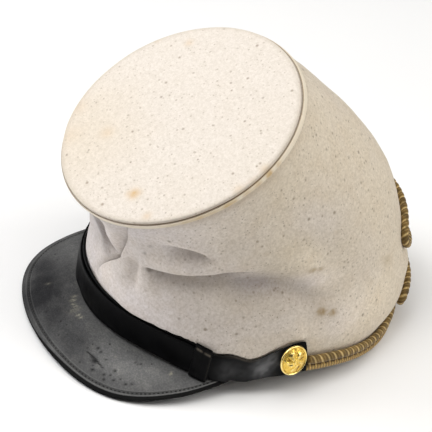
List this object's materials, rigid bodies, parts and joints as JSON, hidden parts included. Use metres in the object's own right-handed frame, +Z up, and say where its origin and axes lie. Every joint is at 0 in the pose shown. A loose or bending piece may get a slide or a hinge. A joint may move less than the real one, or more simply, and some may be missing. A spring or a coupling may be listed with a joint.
{
  "type": "white felt student cap with leather peak",
  "caption": "Soft white felt cap with a forward-leaning crown, flat round top, black leather peak, doubled chin strap, gilt side buttons and twisted cord trim.",
  "frame": {"origin": "on the ground, under the middle of the cap's outline", "axes": "+Z up, -Y towards the peak, +X towards the wearer's left"},
  "size_m": [0.1822, 0.2394, 0.1788],
  "materials": {
    "felt_wall": "matt off-white felt, specked and a little soiled",
    "felt_top": "matt creamy white felt",
    "peak_leather": "scuffed charcoal-black leather with a stitched rim",
    "strap_leather": "smooth black leather",
    "gilt": "worn gilt, bright on the high places",
    "cord": "twisted olive-brown and gold cord"
  },
  "bodies": {
    "root": {"crown_wall": "felt_wall", "crown_top": "felt_top", "peak": "peak_leather", "strap_left": "strap_leather", "strap_right": "strap_leather", "keeper_left": "strap_leather", "keeper_right": "strap_leather", "button_left": "gilt", "button_right": "gilt", "base_cord": "cord", "back_cord": "cord"}
  },
  "joints": []
}
